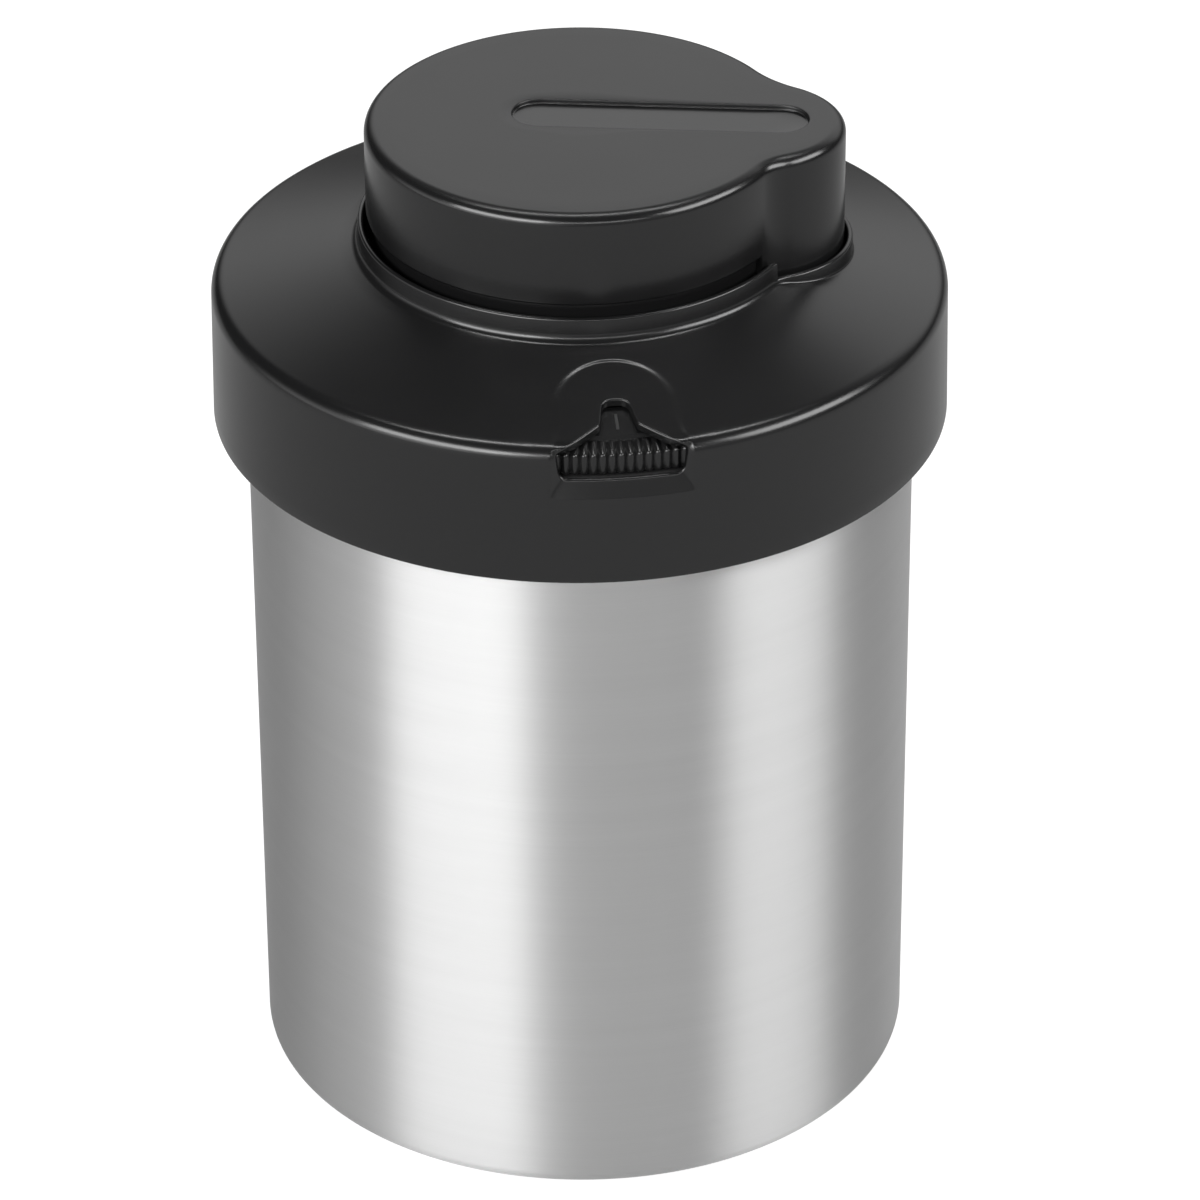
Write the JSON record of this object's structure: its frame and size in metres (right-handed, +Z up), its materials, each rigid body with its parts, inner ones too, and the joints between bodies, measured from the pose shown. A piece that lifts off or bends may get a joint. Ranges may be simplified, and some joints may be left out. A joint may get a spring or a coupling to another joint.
{
  "type": "vacuum coffee canister",
  "caption": "Round steel food canister with a black press-on lid, a teardrop cap that pumps the air out and a knurled date ring in a window.",
  "frame": {"origin": "centre of the base, on the surface the canister stands on", "axes": "+Z up along the can's axis, -Y towards the date window, +X to the right of someone who reads the window"},
  "size_m": [0.121, 0.121, 0.1722],
  "materials": {
    "brushed_steel": "stainless steel, brushed round the can",
    "satin_black": "moulded plastic, fine satin grain",
    "cap_black": "moulded plastic, fine grain on top, smoother sides",
    "dial_black": "moulded plastic, satin",
    "inner_black": "moulded plastic, matte",
    "cylinder_plastic": "natural moulded plastic",
    "silicone": "translucent grey silicone",
    "screen_steel": "thin stainless sheet",
    "screw_steel": "bright plated steel",
    "spring_steel": "drawn spring wire"
  },
  "bodies": {
    "canister": {"canister_shell": "brushed_steel"},
    "lid": {"lid_cover": "satin_black", "lid_base": "inner_black", "lid_gasket": "silicone", "lid_screws": "screw_steel", "pump_cylinder": "cylinder_plastic", "cylinder_cover": "cylinder_plastic", "cylinder_seal": "silicone", "cylinder_screws": "screw_steel", "intake_valve": "silicone", "filter_screen": "screen_steel", "filter_ring": "inner_black", "return_spring": "spring_steel"},
    "date_ring": {"date_ring": "dial_black"},
    "pump_cap": {"pump_cap": "cap_black", "piston_rod": "cylinder_plastic", "piston": "cylinder_plastic", "piston_seal": "silicone", "exhaust_valve": "silicone", "piston_screw": "screw_steel"}
  },
  "joints": [
    {"name": "lid_lift", "type": "slide", "parent": "canister", "child": "lid", "axis": [0, 0, 1], "range_m": [0, 0.04]},
    {"name": "date_turn", "type": "hinge", "parent": "lid", "child": "date_ring", "pos_m": [0, 0, 0.141], "axis": [0, 0, 1], "continuous": true},
    {"name": "pump_press", "type": "slide", "parent": "lid", "child": "pump_cap", "axis": [0, 0, -1], "range_m": [0, 0.011], "stiffness_N_per_m": 700, "springref_m": -0.004, "deforming": ["return_spring"]}
  ]
}
